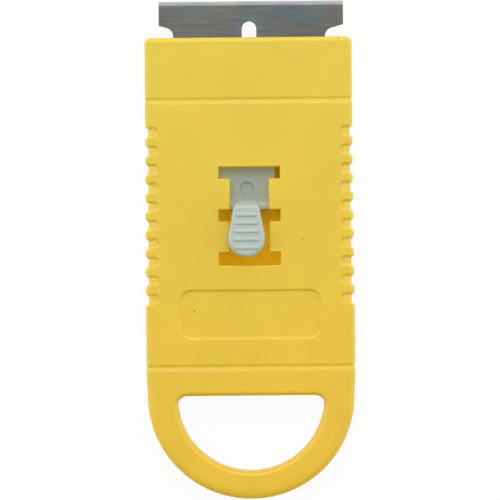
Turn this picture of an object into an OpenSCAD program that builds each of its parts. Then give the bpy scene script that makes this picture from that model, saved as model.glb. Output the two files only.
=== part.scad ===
// Razor blade scraper: a two-shell plastic holder with a handle loop. Inside it a carriage
// slides a single-edge blade in and out, and a sprung latch stands up through a notched window.
// It lies on its back. +X is to the right, +Y points to the cutting edge, +Z is the front face.
// Places along the body are distances behind the mouth, which at() turns into Y.

/* [Blade] */
// Length of the cutting edge
blade_w = 39.1; // [36:0.1:44]
// Height of the blade from its edge to its back
blade_h = 18.2; // [16.5:0.1:20]
// Thickness of the steel
blade_t = 0.25; // [0.2:0.01:0.4]
// How far the cutting edge stands out of the mouth
blade_out = 7.9; // [6.5:0.1:9]
// Width of the ground bevel
bevel_l = 0.85; // [0.5:0.05:1.5]
// Thickness left at the cutting edge
edge_t = 0.02; // [0.01:0.01:0.05]
// Width of the tang behind the shoulders
tang_w = 32.2; // [29:0.1:33]
// Distance from the edge to the shoulder corners
shoulder_y = 5.05; // [4:0.05:6]
// Slope of a shoulder, in degrees
shoulder_slope = 16; // [8:1:24]
// Radius of the round at the foot of a shoulder
shoulder_r = 1.85; // [1:0.05:2.2]
// How far a shoulder's straight edge runs inside its round
shoulder_blend = 0.02; // [0.01:0.01:0.05]
// Width of the locating notch
blade_notch_w = 3.06; // [2.8:0.02:4]
// Distance from the edge to the closed end of the notch
blade_notch_y = 4.3; // [3.5:0.1:6]
// How far the edge is cut to the right of the tang
strip_offset = 0.41; // [0:0.01:0.5]
// How far the blade lies to the right of the body's middle
blade_shift = 0.25; // [0:0.01:0.3]

/* [Body] */
// Length from the mouth to the end of the handle
body_l = 97.3; // [94:0.1:115]
// Thickness of the front wall
front_wall = 1.5; // [1.2:0.1:2.5]
// Thickness of the rear wall
rear_wall = 1.6; // [1.2:0.1:2.5]
// Thickness of the side walls
side_wall = 1.5; // [1.3:0.1:3]
// Room beside the blade in the cavity
side_room = 0.95; // [0.8:0.05:2]
// Height of the rear shell up to the seam
seam_z = 4; // [3.4:0.1:4.4]
// Radius along the front and back edges
edge_r = 1; // [0.4:0.1:1.2]
// Radius of the mouth corners in plan
mouth_corner_r = 1.2; // [0.6:0.1:1.4]
// Room between the lip and the hinge block with the blade right out
lip_room = 1.3; // [0.5:0.1:2]
// Gap between the carriage and the lip
lip_clear = 0.3; // [0.2:0.05:0.5]
// Room behind the carriage with the blade in
end_room = 1.6; // [0.5:0.1:2]
// Thickness of the bulkhead behind the cavity
bulkhead_t = 1.6; // [1.2:0.1:3]
// Width of each guide rib over the carriage rails
rib_w = 1.6; // [1:0.1:2]
// Distance of each guide rib from the side wall
rib_inset = 1.3; // [0.8:0.1:1.6]

/* [Handle loop] */
// Radius of the inside of the loop
loop_r = 15.6; // [13:0.05:17]
// How far the loop's centre lies behind the centre of the handle's round end
loop_set = 0.7; // [0:0.05:1]
// How far the loop's flat side lies ahead of its centre
loop_flat = 0.45; // [0:0.05:1]
// Radius of the loop's two corners
loop_corner_r = 2.1; // [1:0.1:4]
// Thickness of the wall round the loop
loop_wall = 1.6; // [1.2:0.1:2.4]

/* [Grooves and grips] */
// Width of the two grooves round the body
groove_w = 1.3; // [0.6:0.1:2]
// Depth of the two grooves
groove_depth = 0.28; // [0.1:0.02:0.5]
// Front groove, behind the mouth
front_groove_d = 13.2; // [8:0.1:17]
// Rear groove, ahead of the handle's round end
rear_groove_to_end = 6; // [3:0.1:8]
// Number of grip notches on each side
grip_count = 10; // [4:1:11]
// First grip notch, behind the mouth
grip_first_d = 20.05; // [17:0.05:23]
// Spacing of the grip notches
grip_pitch = 3.91; // [3:0.01:4.2]
// Width of a grip notch
grip_w = 2.05; // [1:0.05:2.4]
// Depth of a grip notch in the side
grip_side_depth = 0.62; // [0.2:0.02:0.8]
// Depth of a grip notch in the face
grip_face_depth = 0.45; // [0.1:0.05:0.8]
// Reach of a grip notch across the face
grip_reach = 3; // [1.5:0.1:4]

/* [Window] */
// Start of the window, behind the mouth
window_d = 27.26; // [25:0.02:30]
// Width of the slot
slot_w = 8.1; // [7.4:0.1:9.6]
// Width across a pair of notches
window_notch_w = 12.95; // [11.5:0.05:14]
// Length of a notch
window_notch_l = 2.47; // [2:0.01:3]
// Spacing of the three pairs of notches
window_notch_pitch = 9; // [8:0.05:10]
// Extra length of the rearmost notch
last_notch_extra = 0.26; // [0:0.02:0.6]

/* [Label recess] */
// Width of the recess
label_w = 29.8; // [20:0.1:34]
// Length of the recess
label_l = 10.35; // [6:0.05:12]
// Corner radius of the recess
label_r = 2.4; // [0.5:0.1:4]
// Depth of the recess
label_depth = 0.35; // [0.1:0.05:0.6]
// Rear end of the recess, ahead of the handle's round end
label_to_end = 11.75; // [9:0.05:14]

/* [Joining pegs] */
// Radius of a peg
peg_r = 1.3; // [0.9:0.05:1.6]
// Length of a peg below the seam
peg_l = 1.8; // [1:0.1:2]
// Gap round a peg in its socket
peg_clear = 0.05; // [0.02:0.01:0.1]
// Wall of the boss round a socket
boss_wall = 1; // [0.7:0.1:1.4]
// How far a boss runs into the walls beside it
boss_set = 0.4; // [0.2:0.05:0.6]

/* [Carriage] */
// Front of the carriage, behind the mouth
carriage_d = 3.5; // [3:0.1:5]
// Length of the carriage
carriage_l = 34.5; // [33:0.1:38]
// Height of the carriage
carriage_h = 2.4; // [2.2:0.05:3]
// Gap between the carriage and the walls above and below
slide_clear = 0.2; // [0.1:0.05:0.3]
// Gap between a centred carriage and each side wall
side_clear = 0.7; // [0.65:0.05:1]
// How far the carriage sits to the left in its side play
carriage_shift = 0.5; // [0:0.05:0.6]
// Thickness of the jaws under the blade
jaw_t = 0.8; // [0.5:0.05:1]
// Width of a jaw
jaw_w = 7; // [4:0.1:8]
// Spacing of the jaws
jaw_pitch = 12; // [10:0.1:12.5]
// Gap round the blade in its slit
slit_clear = 0.05; // [0.03:0.01:0.1]
// Gap between the locating peg and the notch
notch_clear = 0.08; // [0.04:0.01:0.15]
// Thickness of the floor of the arms
arm_floor_t = 1.2; // [0.8:0.1:2]
// Width of the rails along the arms
rail_w = 2; // [1.5:0.1:3]

/* [Latch] */
// How far the latch bar sits ahead of the middle notches
bar_ahead = 2.45; // [1:0.05:3.5]
// Gap between the bar and the ends of a notch
bar_room = 0.17; // [0.1:0.01:0.3]
// Gap between the bar and the sides of a notch
bar_side_clear = 0.12; // [0.05:0.01:0.3]
// Height of the bar above the tongue
bar_h = 0.95; // [0.6:0.05:1.4]
// Length of the slope on each side of the bar
bar_slope_l = 0.7; // [0.3:0.05:0.8]
// Gap between the bar and the front wall
bar_clear = 0.1; // [0.05:0.01:0.2]
// Thickness of the tongue
tongue_t = 1; // [0.8:0.05:1.4]
// Gap between the carriage and the level of the tongue
tongue_gap = 0.25; // [0.1:0.05:0.6]
// Gap between the tongue and the arms
tongue_side_gap = 1.25; // [0.6:0.05:1.6]
// Radius of the hinge barrel
barrel_r = 0.75; // [0.7:0.01:0.85]
// Gap round the hinge barrel
barrel_clear = 0.05; // [0.02:0.01:0.1]
// Wall round the hinge seat
seat_wall = 0.5; // [0.4:0.05:0.8]
// Diameter of the round mark on the tongue
mark_dia = 2.95; // [2:0.05:4]
// Depth of the round mark
mark_depth = 0.25; // [0.05:0.05:0.3]
// Centre of the round mark, ahead of the bar
mark_ahead = 2.05; // [1.8:0.05:6]

/* [Thumb tab] */
// Width of the tab at its round end
tab_w = 7.8; // [6.5:0.1:9]
// Width of the tab at its neck
tab_neck_w = 5.3; // [4:0.1:6]
// Length of the tab behind the front of its neck
tab_l = 10.9; // [10:0.1:13]
// Thickness of the tab without its ridges
tab_t = 0.95; // [0.8:0.05:1.5]
// Gap between the tab and the front face
tab_gap = 1.5; // [1.4:0.05:2]
// Thickness of the web that carries the tab
neck_t = 0.95; // [0.7:0.05:1.1]
// Forward lean of the front of the web
neck_lean = 0.6; // [0.2:0.05:0.8]
// Gap between the web and the window's end with the blade in
neck_clear = 0.22; // [0.15:0.01:0.3]
// How far the tab's straight sides run inside its round end
tab_blend = 0.02; // [0.01:0.01:0.05]
// Width of the smooth rim round the ridges
tab_rim = 0.85; // [0.6:0.05:1.4]
// Height of the ridges
ridge_h = 0.3; // [0.1:0.05:0.3]
// Width of a ridge
ridge_w = 0.65; // [0.6:0.05:1.2]
// Spacing of the ridges
ridge_pitch = 1.73; // [1.3:0.01:1.8]
// Number of ridges
ridge_count = 5; // [3:1:6]
// Distance of the last ridge from the tab's end
ridge_to_end = 1.7; // [1.5:0.05:3]

/* [Hidden] */
$fn = 96;
over = 1;
cavity_w = blade_w + 2 * side_room;
body_w = cavity_w + 2 * side_wall;
end_d = body_l - body_w / 2;
loop_d = end_d + loop_set;
loop_flat_d = loop_d - loop_flat;
mouth_y = (body_l - blade_out) / 2;
edge_y = mouth_y + blade_out;

carriage_x = -carriage_shift;
carriage_w = cavity_w - 2 * side_clear;
carriage_z = rear_wall + slide_clear;
carriage_top = carriage_z + carriage_h;
carriage_end_d = carriage_d + carriage_l;
slit_z = carriage_z + jaw_t;
slit_h = blade_t + 2 * slit_clear;
blade_z = slit_z + slit_clear;
blade_back_d = blade_h - blade_out;
slit_end_d = blade_back_d + slit_clear;
tang_play = blade_shift + carriage_shift;
pocket_w = tang_w + 2 * (tang_play + slit_clear);
locating_r = blade_notch_w / 2 - tang_play - notch_clear;
locating_d = (carriage_d + slit_end_d) / 2;

tongue_z = carriage_top + tongue_gap;
tongue_top = tongue_z + tongue_t;
bar_top = tongue_top + bar_h;
cavity_top = bar_top + bar_clear;
body_t = cavity_top + front_wall;

tongue_w = window_notch_w - 2 * (carriage_shift + bar_side_clear);
bar_l = window_notch_l - 2 * bar_room;
bar_end_d = window_d + window_notch_pitch + window_notch_l - bar_room - bar_ahead;
bar_d = bar_end_d - bar_l;
window_end_d = window_d + 2 * window_notch_pitch + window_notch_l + last_notch_extra;
travel_back = window_notch_pitch + bar_ahead + last_notch_extra / 2;
travel_out = window_notch_pitch - bar_ahead;
cavity_l = carriage_end_d + travel_back + end_room;
seat_r = barrel_r + barrel_clear;
hinge_d = slit_end_d + 2 * seat_wall + seat_r;
hinge_z = tongue_z + tongue_t / 2;
hinge_block_d = hinge_d - seat_r - seat_wall;
hinge_block_end_d = hinge_d + seat_wall;
lip_l = hinge_block_d - travel_out - lip_room;
arm_gap_w = tongue_w + 2 * tongue_side_gap;

tab_z = body_t + tab_gap;
tab_face = tab_z + tab_t;
tab_top = tab_face + ridge_h;
neck_end_d = window_end_d - travel_back - neck_clear;
neck_d = neck_end_d - neck_t;
tab_end_d = neck_d + tab_l;
tab_round_d = tab_end_d - tab_w / 2;
mark_d = bar_d - mark_ahead;

rear_groove_d = end_d - rear_groove_to_end;
label_end_d = end_d - label_to_end;
hollow_d = cavity_l + bulkhead_t;
boss_r = peg_r + peg_clear + boss_wall;
boss_reach = boss_r - boss_set;
peg_x = cavity_w / 2 - boss_reach;
ring_turn = 45;
ring_mid_r = (body_w / 2 - side_wall + loop_r + loop_wall + loop_set * sin(ring_turn)) / 2;
peg_rows = [hollow_d + boss_reach, loop_flat_d - loop_wall - boss_reach];
peg_places = concat(
    [for (side = [-1, 1], d = peg_rows) [side * peg_x, at(d)]],
    [for (side = [-1, 1]) [side * ring_mid_r * cos(ring_turn), at(end_d) - ring_mid_r * sin(ring_turn)]]
);

body_yellow = [0.9, 0.78, 0.31];
slider_grey = [0.75, 0.8, 0.76];
blade_steel = [0.43, 0.44, 0.42];

// Y of a place that lies d behind the mouth
function at(d) = mouth_y - d;

// Radius of the arc that is w wide and h high
function arc_r(w, h) = (w * w / 4 + h * h) / (2 * h);

// Box from corner to corner, with its length given behind the mouth
module slab(x0, x1, d0, d1, z0, z1) {
    translate([x0, at(d1), z0]) cube([x1 - x0, d1 - d0, z1 - z0]);
}

// Outline of Y and Z swept along X, over a width centred on x
module across(x, w) {
    translate([x - w / 2, 0, 0]) rotate([90, 0, 90]) linear_extrude(w) children();
}

// Round bar along X, centred on x
module cross_bar(x, d, z, r, l) {
    translate([x, at(d), z]) rotate([0, 90, 0]) cylinder(r = r, h = l, center = true);
}

// What a round of radius r leaves outside it in a corner
module corner_waste(r) {
    difference() {
        square(r + over);
        circle(r);
    }
}

// Half of the body's cross-section, from the middle to the right
module half_section() {
    square([body_w / 2 - edge_r, body_t]);
    translate([0, edge_r]) square([body_w / 2, body_t - 2 * edge_r]);
    for (z = [edge_r, body_t - edge_r]) translate([body_w / 2 - edge_r, z]) circle(edge_r);
}

// Body with rounded edges, a rounded mouth and a half-round handle end, still solid
module body_blank() {
    difference() {
        union() {
            translate([0, mouth_y, 0]) rotate([90, 0, 0]) linear_extrude(end_d) {
                half_section();
                mirror([1, 0]) half_section();
            }
            translate([0, at(end_d), 0]) rotate(180) rotate_extrude(angle = 180) half_section();
        }
        for (side = [0, 1]) mirror([side, 0, 0])
            translate([body_w / 2 - mouth_corner_r, mouth_y - mouth_corner_r, -over])
                linear_extrude(body_t + 2 * over) corner_waste(mouth_corner_r);
        across(0, body_w + 2 * over) {
            translate([mouth_y - edge_r, body_t - edge_r]) corner_waste(edge_r);
            translate([mouth_y - edge_r, edge_r]) mirror([0, 1]) corner_waste(edge_r);
        }
    }
}

// Disc of radius r round the middle, cut straight at a height above it
module cut_disc(r, height) {
    intersection() {
        circle(r);
        translate([-r - over, -r - over]) square([2 * (r + over), r + over + height]);
    }
}

// Outline of the opening of the handle loop, a cut disc with two rounded corners
module loop_outline() {
    reach = loop_r - loop_corner_r;
    corner_y = loop_flat - loop_corner_r;
    corner_x = sqrt(reach * reach - corner_y * corner_y);
    touch = [corner_x, corner_y] * loop_r / reach;
    high = loop_flat + over;
    far = loop_r + over;
    difference() {
        cut_disc(loop_r, loop_flat);
        for (side = [0, 1]) mirror([side, 0]) difference() {
            polygon([[corner_x, high], [far, high], [far, touch[1]], touch, [corner_x, loop_flat]]);
            translate([corner_x, corner_y]) circle(loop_corner_r);
        }
    }
}

// Outline of the hollow round the handle loop and ahead of it
module hollow_outline() {
    inner_r = body_w / 2 - side_wall;
    difference() {
        union() {
            translate([-inner_r, at(end_d)]) square([2 * inner_r, end_d - hollow_d]);
            translate([0, at(end_d)]) cut_disc(inner_r, 0);
        }
        translate([0, at(loop_d)]) cut_disc(loop_r + loop_wall, loop_flat + loop_wall);
        for (place = peg_places) translate(place) circle(boss_r);
    }
}

// Both grooves, cut round the front, the back and the sides
module grooves() {
    r = arc_r(groove_w, groove_depth);
    lift = r - groove_depth;
    for (d = [front_groove_d, rear_groove_d]) {
        for (z = [-lift, body_t + lift]) cross_bar(0, d, z, r, body_w + 2 * over);
        for (side = [-1, 1]) translate([side * (body_w / 2 + lift), at(d), -over])
            cylinder(r = r, h = body_t + 2 * over);
    }
}

// Grip notches in both sides, each with a round-ended pocket in the front and the back
module grip_notches() {
    r = arc_r(grip_w, grip_side_depth);
    for (k = [0 : grip_count - 1], side = [0, 1]) mirror([side, 0, 0])
        translate([body_w / 2, at(grip_first_d + k * grip_pitch), 0]) {
            translate([r - grip_side_depth, 0, -over]) cylinder(r = r, h = body_t + 2 * over);
            for (z = [-over, body_t - grip_face_depth])
                translate([grip_w / 2 - grip_reach, 0, z]) linear_extrude(grip_face_depth + over) {
                    circle(grip_w / 2);
                    translate([0, -grip_w / 2]) square([grip_reach, grip_w]);
                }
        }
}

// Slot and its three pairs of notches, cut through the front wall
module window() {
    low = cavity_top - over;
    high = body_t + over;
    slab(-slot_w / 2, slot_w / 2, window_d, window_end_d, low, high);
    for (k = [0 : 2]) {
        start = window_d + k * window_notch_pitch;
        end = k == 2 ? window_end_d : start + window_notch_l;
        slab(-window_notch_w / 2, window_notch_w / 2, start, end, low, high);
    }
}

// Shallow recess with rounded corners in the front face
module label_recess() {
    translate([0, at(label_end_d) + label_l / 2, body_t - label_depth]) linear_extrude(label_depth + over) {
        square([label_w - 2 * label_r, label_l], center = true);
        square([label_w, label_l - 2 * label_r], center = true);
        for (x = [-1, 1], y = [-1, 1])
            translate([x * (label_w / 2 - label_r), y * (label_l / 2 - label_r)]) circle(label_r);
    }
}

// Part of the body between two heights, with everything cut that both shells share
module shell(z0, z1) {
    difference() {
        intersection() {
            body_blank();
            slab(-body_w, body_w, -over, body_l + over, z0, z1);
        }
        slab(-cavity_w / 2, cavity_w / 2, -over, cavity_l, rear_wall, cavity_top);
        translate([0, 0, rear_wall]) linear_extrude(cavity_top - rear_wall) hollow_outline();
        translate([0, at(loop_d), -over]) linear_extrude(body_t + 2 * over) loop_outline();
        grooves();
        grip_notches();
    }
}

// Front half, with the window, the lip over the mouth, the guide ribs and the pegs
module front_shell() {
    color(body_yellow) {
        difference() {
            shell(seam_z, body_t + over);
            window();
            label_recess();
        }
        slab(-cavity_w / 2, cavity_w / 2, 0, lip_l, carriage_top + lip_clear, cavity_top);
        for (side = [0, 1]) mirror([side, 0, 0]) {
            x = cavity_w / 2 - rib_inset;
            slab(x - rib_w, x, lip_l, cavity_l, carriage_top + slide_clear, cavity_top);
        }
        for (place = peg_places) translate([place[0], place[1], seam_z - peg_l])
            cylinder(r = peg_r, h = peg_l + front_wall);
    }
}

// Rear half, with the flat back and the sockets for the pegs
module rear_shell() {
    color(body_yellow) difference() {
        shell(-over, seam_z);
        for (place = peg_places) translate([place[0], place[1], seam_z - peg_l - peg_clear])
            cylinder(r = peg_r + peg_clear, h = peg_l + peg_clear + over);
    }
}

// Slide that grips the blade in a slit, with two railed arms and the seat of the latch hinge
module carriage() {
    x0 = carriage_x - carriage_w / 2;
    x1 = carriage_x + carriage_w / 2;
    color(slider_grey) {
        difference() {
            slab(x0, x1, carriage_d, hinge_block_end_d, carriage_z, carriage_top);
            slab(carriage_x - pocket_w / 2, carriage_x + pocket_w / 2,
                carriage_d - over, slit_end_d, carriage_z - over, slit_z + slit_h);
            for (k = [-1, 1]) {
                x = carriage_x + k * jaw_pitch;
                slab(x - jaw_w / 2, x + jaw_w / 2,
                    carriage_d + jaw_t, slit_end_d - jaw_t, slit_z, carriage_top + over);
            }
        }
        for (k = [-1, 0, 1]) {
            x = carriage_x + k * jaw_pitch;
            slab(x - jaw_w / 2, x + jaw_w / 2, carriage_d, hinge_block_end_d, carriage_z, slit_z);
        }
        translate([carriage_x, at(locating_d), carriage_z]) cylinder(r = locating_r, h = carriage_h);
        for (side = [-1, 1]) {
            inner = carriage_x + side * arm_gap_w / 2;
            outer = carriage_x + side * carriage_w / 2;
            rail = outer - side * rail_w;
            slab(min(inner, outer), max(inner, outer), hinge_block_end_d, carriage_end_d,
                carriage_z, carriage_z + arm_floor_t);
            slab(min(rail, outer), max(rail, outer), hinge_block_end_d, carriage_end_d,
                carriage_z, carriage_top);
        }
        difference() {
            slab(carriage_x - arm_gap_w / 2, carriage_x + arm_gap_w / 2, hinge_block_d,
                hinge_block_end_d, carriage_z, hinge_z + seat_r + seat_wall);
            cross_bar(carriage_x, hinge_d, hinge_z, seat_r, arm_gap_w + 2 * over);
        }
    }
}

// Outline of the thumb tab, drawn in from its edge: a round end and two straight sides to the neck
module tab_outline(inset) {
    r = tab_w / 2 - inset;
    neck = [tab_neck_w / 2 - inset, tab_round_d - neck_d - inset];
    touch_r = r - tab_blend;
    turn = atan2(neck[1], neck[0]) - acos(touch_r / norm(neck));
    touch = touch_r * [cos(turn), sin(turn)];
    translate([carriage_x, at(tab_round_d)]) {
        circle(r);
        polygon([neck, touch, [-touch[0], touch[1]], [-neck[0], neck[1]]]);
    }
}

// Tongue with its hinge barrel, the locking bar, and the ridged tab on its web
module latch() {
    ridge_r = arc_r(ridge_w, ridge_h);
    color(slider_grey) {
        difference() {
            slab(carriage_x - tongue_w / 2, carriage_x + tongue_w / 2, hinge_d, bar_end_d,
                tongue_z, tongue_top);
            translate([carriage_x, at(mark_d), tongue_top - mark_depth])
                cylinder(d = mark_dia, h = mark_depth + over);
        }
        cross_bar(carriage_x, hinge_d, hinge_z, barrel_r, tongue_w);
        across(carriage_x, tongue_w) polygon([
            [at(bar_d), tongue_top - tongue_t / 2],
            [at(bar_d), tongue_top],
            [at(bar_d + bar_slope_l), bar_top],
            [at(bar_end_d - bar_slope_l), bar_top],
            [at(bar_end_d), tongue_top],
            [at(bar_end_d), tongue_top - tongue_t / 2]
        ]);
        intersection() {
            translate([0, 0, tongue_z]) linear_extrude(tab_face - tongue_z) tab_outline(0);
            across(carriage_x, tab_w + 2 * over) polygon([
                [at(neck_d - neck_lean), tongue_z],
                [at(neck_d), tongue_top],
                [at(neck_d + neck_lean), tab_face],
                [at(tab_end_d + over), tab_face],
                [at(tab_end_d + over), tab_z],
                [at(neck_end_d), tab_z],
                [at(neck_end_d), tongue_z]
            ]);
        }
        intersection() {
            translate([0, 0, tab_z]) linear_extrude(tab_top - tab_z + over) tab_outline(tab_rim);
            for (k = [0 : ridge_count - 1]) {
                d = tab_end_d - ridge_to_end - k * ridge_pitch;
                cross_bar(carriage_x, d, tab_top - ridge_r, ridge_r, tab_w);
            }
        }
    }
}

// Blade with its ground edge, sloped shoulders and the notch that is open to its back
module blade() {
    left = strip_offset - blade_w / 2;
    right = strip_offset + blade_w / 2;
    round_x = tang_w / 2 + shoulder_r;
    touch = (shoulder_r - shoulder_blend) * [-sin(shoulder_slope), cos(shoulder_slope)];
    color(blade_steel) translate([blade_shift, edge_y, blade_z]) intersection() {
        linear_extrude(blade_t) difference() {
            translate([left, -blade_h]) square([blade_w, blade_h]);
            for (side = [0, 1]) mirror([side, 0]) {
                corner_x = side == 0 ? right : -left;
                fall = (corner_x - round_x - touch[0]) * tan(shoulder_slope);
                foot_y = -(shoulder_y + fall + touch[1]);
                translate([round_x, foot_y]) circle(shoulder_r);
                translate([tang_w / 2, -blade_h - over]) square([blade_w, foot_y + blade_h + over]);
                polygon([
                    [round_x, foot_y],
                    [round_x, foot_y] + touch,
                    [corner_x, -shoulder_y],
                    [corner_x + over, -shoulder_y],
                    [corner_x + over, foot_y]
                ]);
            }
            translate([0, -blade_notch_y - blade_notch_w / 2]) {
                circle(d = blade_notch_w);
                translate([-blade_notch_w / 2, -blade_h]) square([blade_notch_w, blade_h]);
            }
        }
        across(0, 2 * blade_w) polygon([
            [-blade_h - over, 0],
            [-bevel_l, 0],
            [0, (blade_t - edge_t) / 2],
            [0, (blade_t + edge_t) / 2],
            [-bevel_l, blade_t],
            [-blade_h - over, blade_t]
        ]);
    }
}

front_shell();
rear_shell();
carriage();
latch();
blade();
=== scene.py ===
"""Looks of a razor blade scraper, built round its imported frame.

Pieces are modelled in millimetres and made metres when they are finished. Places along the body are
distances behind the mouth, as in the part's source, and BodySizes.place() turns them into Y.
"""

import logging
import math
from dataclasses import dataclass
from enum import Enum
from typing import Sequence

import bmesh
import bpy
from bmesh import ops
from bmesh.types import BMEdge, BMesh, BMVert
from mathutils import Matrix, Vector


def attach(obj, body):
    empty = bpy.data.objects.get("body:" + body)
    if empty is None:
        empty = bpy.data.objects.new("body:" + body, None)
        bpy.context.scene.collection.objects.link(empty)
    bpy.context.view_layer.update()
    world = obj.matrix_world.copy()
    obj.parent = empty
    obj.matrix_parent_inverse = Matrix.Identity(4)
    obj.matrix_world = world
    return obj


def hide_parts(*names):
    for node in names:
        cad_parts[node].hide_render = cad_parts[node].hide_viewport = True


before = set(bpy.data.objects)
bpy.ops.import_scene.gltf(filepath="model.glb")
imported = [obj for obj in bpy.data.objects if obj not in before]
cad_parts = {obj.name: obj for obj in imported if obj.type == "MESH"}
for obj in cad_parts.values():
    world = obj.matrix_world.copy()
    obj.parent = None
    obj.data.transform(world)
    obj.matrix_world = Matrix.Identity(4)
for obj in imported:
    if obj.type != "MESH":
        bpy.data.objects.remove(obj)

Pair = tuple[float, float]
Triple = tuple[float, float, float]
Quad = tuple[float, float, float, float]  # a range of values, and the range that it becomes
Material = bpy.types.Material
Socket = bpy.types.NodeSocket
Thing = bpy.types.Object

LOG = logging.getLogger("scraper")
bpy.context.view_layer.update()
PHOTO_PIXELS = 500
MM = 0.001

# Millimetres that a tool stands out of what it cuts, and within which places and points are the same.
OVER = 1.0
NEAR = 0.01
LEVEL = 1e-3
WELD = 1e-4
FINE_WELD = 1e-5
# An edge that reaches further than this along an axis runs along it.
LONG = 0.5

# Up parts of the normals of flat faces and of upright ones, and the turn between faces of one flat.
FLAT = 0.99999
UPRIGHT = 0.1
FLAT_TURN = 0.002

# Degrees at which the floor round and the lip round of a recess have their points.
FLOOR_TURNS = (0, 22, 45, 68, 90)
LIP_TURNS = (0, 20, 40, 60, 80)
# Above its lip a recess tool flares out a little at this angle before it goes straight up.
FLARE_DEGREES = 15
FLARE_SHARE = 0.06


class Plane(Enum):
    """Plane that an outline is drawn in, as the numbers of its two axes."""

    PLAN = (0, 1)
    FRONT = (0, 2)
    SIDE = (1, 2)

    def lift(self, u: float, v: float) -> Vector:
        """Point in space of the plane's two coordinates."""
        point = Vector((0.0, 0.0, 0.0))
        point[self.value[0]] = u
        point[self.value[1]] = v
        return point

    def axis(self) -> Vector:
        """Axis of a turn from the plane's first coordinate to its second."""
        return self.lift(1.0, 0.0).cross(self.lift(0.0, 1.0))


class Cut(Enum):
    """How a tool is combined with a piece."""

    REMOVE = "DIFFERENCE"
    ADD = "UNION"


class Skin(Enum):
    """Material slots of a moulded shell."""

    OUTSIDE = 0
    INSIDE = 1


class Along(Enum):
    """Axis along which a finish changes its tone."""

    Y = "Y"
    Z = "Z"


class Wall(Enum):
    """How a moulded skin passes light."""

    OPAQUE = "opaque"
    OUTER = "from within"
    INNER = "both ways"


class Pen:
    """Draws a flat outline with straight runs and arcs."""

    def __init__(self, plane: Plane, u: float, v: float) -> None:
        """Starts an outline in a new mesh.

        Args:
            plane: plane of the outline.
            u: first coordinate of the start.
            v: second coordinate of the start.
        """
        self.bm = bmesh.new()
        self.plane = plane
        self.first: BMVert = self.bm.verts.new(plane.lift(u, v))
        self.tip: BMVert = self.first

    def line(self, u: float, v: float) -> "Pen":
        """Draws a straight run to a point, and returns the pen."""
        self.tip = ops.extrude_vert_indiv(self.bm, verts=[self.tip])["verts"][0]
        self.tip.co = self.plane.lift(u, v)
        return self

    def arc(self, u: float, v: float, degrees: float, steps: int) -> "Pen":
        """Draws an arc round a centre.

        Args:
            u: first coordinate of the centre.
            v: second coordinate of the centre.
            degrees: turn from the plane's first coordinate towards its second.
            steps: number of straight pieces.

        Returns:
            The pen.
        """
        grown = ops.spin(
            self.bm, geom=[self.tip], cent=self.plane.lift(u, v), axis=self.plane.axis(),
            angle=math.radians(degrees), steps=steps, use_merge=False, use_duplicate=False,
        )
        self.tip = vertices(grown["geom_last"])[0]
        return self

    def solid(self, vector: Triple) -> BMesh:
        """Closes the outline and raises its face by a vector, and returns the solid's mesh."""
        bm = self.bm
        if (self.tip.co - self.first.co).length < WELD:
            ops.pointmerge(bm, verts=[self.first, self.tip], merge_co=self.first.co)
        else:
            bm.edges.new((self.tip, self.first))
        faces = ops.contextual_create(bm, geom=bm.edges[:])["faces"]
        grown = ops.extrude_face_region(bm, geom=faces)
        ops.translate(bm, verts=vertices(grown["geom"]), vec=vector)
        ops.recalc_face_normals(bm, faces=bm.faces[:])
        return bm


@dataclass(frozen=True)
class Recess:
    """Recess with round corners, a rounded floor, a leaning wall and a rounded lip.

    A floor_r of 0 is for an opening that goes right through, and steps go round the four corners.
    """

    width: float
    length: float
    corner_r: float
    depth: float
    floor_r: float
    lip_r: float
    draft: float
    steps: int

    def profile(self) -> list[Pair]:
        """Distances out of the wall and heights above the face, from the bottom to the top."""
        points: list[Pair] = []
        if self.floor_r > 0:
            for angle in map(math.radians, FLOOR_TURNS):
                out = -self.floor_r + self.floor_r * math.sin(angle) - self.draft
                points.append((out, -self.depth + self.floor_r - self.floor_r * math.cos(angle)))
        else:
            points.append((0.0, -self.depth))
        for angle in map(math.radians, LIP_TURNS):
            out = self.lip_r - self.lip_r * math.cos(angle)
            points.append((out, -self.lip_r + self.lip_r * math.sin(angle)))
        out, height = points[-1]
        rise = OVER / 2
        flare = rise / math.tan(math.radians(FLARE_DEGREES)) * FLARE_SHARE
        points.append((out + flare, height + FLARE_SHARE * rise))
        points.append((out + flare, rise))
        return points

    def plug(self) -> BMesh:
        """Makes the tool that leaves the recess, with its middle in the face."""
        (out, height), *rest = self.profile()
        pen = Pen(Plane.FRONT, self.corner_r + out, height)
        for out, height in rest:
            pen.line(self.corner_r + out, height)
        bm = pen.bm
        # The profile starts half a step round, so that every point lies in one of the four corners.
        half_step = Matrix.Rotation(math.pi / self.steps, 3, "Z")
        ops.rotate(bm, verts=bm.verts[:], cent=(0, 0, 0), matrix=half_step)
        ops.spin(
            bm, geom=bm.verts[:] + bm.edges[:], cent=(0, 0, 0), axis=(0, 0, 1), angle=2 * math.pi,
            steps=self.steps, use_merge=True, use_duplicate=False,
        )
        ops.remove_doubles(bm, verts=bm.verts[:], dist=FINE_WELD)
        far_x, far_y = self.width / 2 - self.corner_r, self.length / 2 - self.corner_r
        for vertex in bm.verts:
            vertex.co += Vector((math.copysign(far_x, vertex.co.x), math.copysign(far_y, vertex.co.y), 0))
        ops.holes_fill(bm, edges=[edge for edge in bm.edges if edge.is_boundary], sides=0)
        ops.recalc_face_normals(bm, faces=bm.faces[:])
        return bm


def share(value: float, start: float, end: float) -> float:
    """How far a value has come from start to end, from 0 to 1."""
    return min(max((value - start) / (end - start), 0.0), 1.0)


def smooth(value: float, start: float, end: float) -> float:
    """Like share, with a soft beginning and end."""
    t = share(value, start, end)
    return t * t * (3 - 2 * t)


def vertices(items: Sequence) -> list[BMVert]:
    """Vertices among mixed items of a mesh."""
    return [item for item in items if isinstance(item, BMVert)]


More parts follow.
